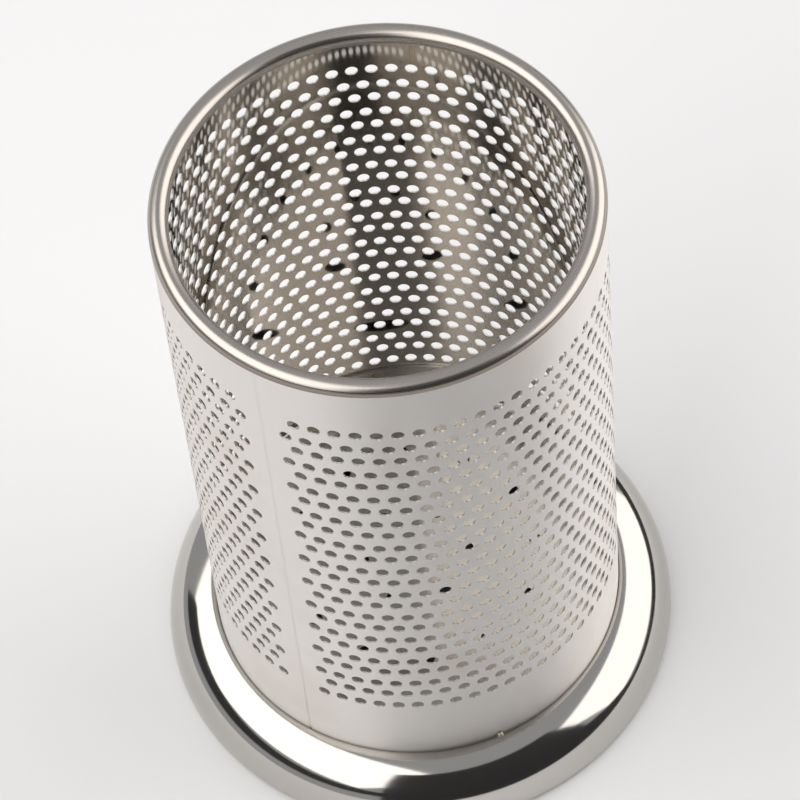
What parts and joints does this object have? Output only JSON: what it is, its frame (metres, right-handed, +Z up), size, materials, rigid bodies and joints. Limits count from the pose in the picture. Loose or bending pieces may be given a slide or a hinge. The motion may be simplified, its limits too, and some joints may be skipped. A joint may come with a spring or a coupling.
{
  "type": "chopstick holder",
  "caption": "Upright perforated steel cup with a rolled rim, fixed into a wide domed base, that holds chopsticks and lets them drain and air.",
  "frame": {"origin": "on the tube's axis, in the plane that the base's foot stands on", "axes": "+Z up along the tube's axis, -Y towards the picture's camera, +X to its right; the seam is at the front left"},
  "size_m": [0.126, 0.126, 0.1718],
  "materials": {
    "tube_steel": "satin outside, brighter inside",
    "seam_steel": "ground flush",
    "rim_steel": "polished",
    "base_steel": "mirror polished",
    "floor_steel": "bright rolled",
    "weld_mark": "heat tinted"
  },
  "bodies": {
    "root": {"perforated_tube": "tube_steel", "seam_weld": "seam_steel", "rolled_rim": "rim_steel", "base_shell": "base_steel", "floor_pan": "floor_steel", "floor_spot_welds": "weld_mark", "base_tack_welds": "weld_mark"}
  },
  "joints": []
}
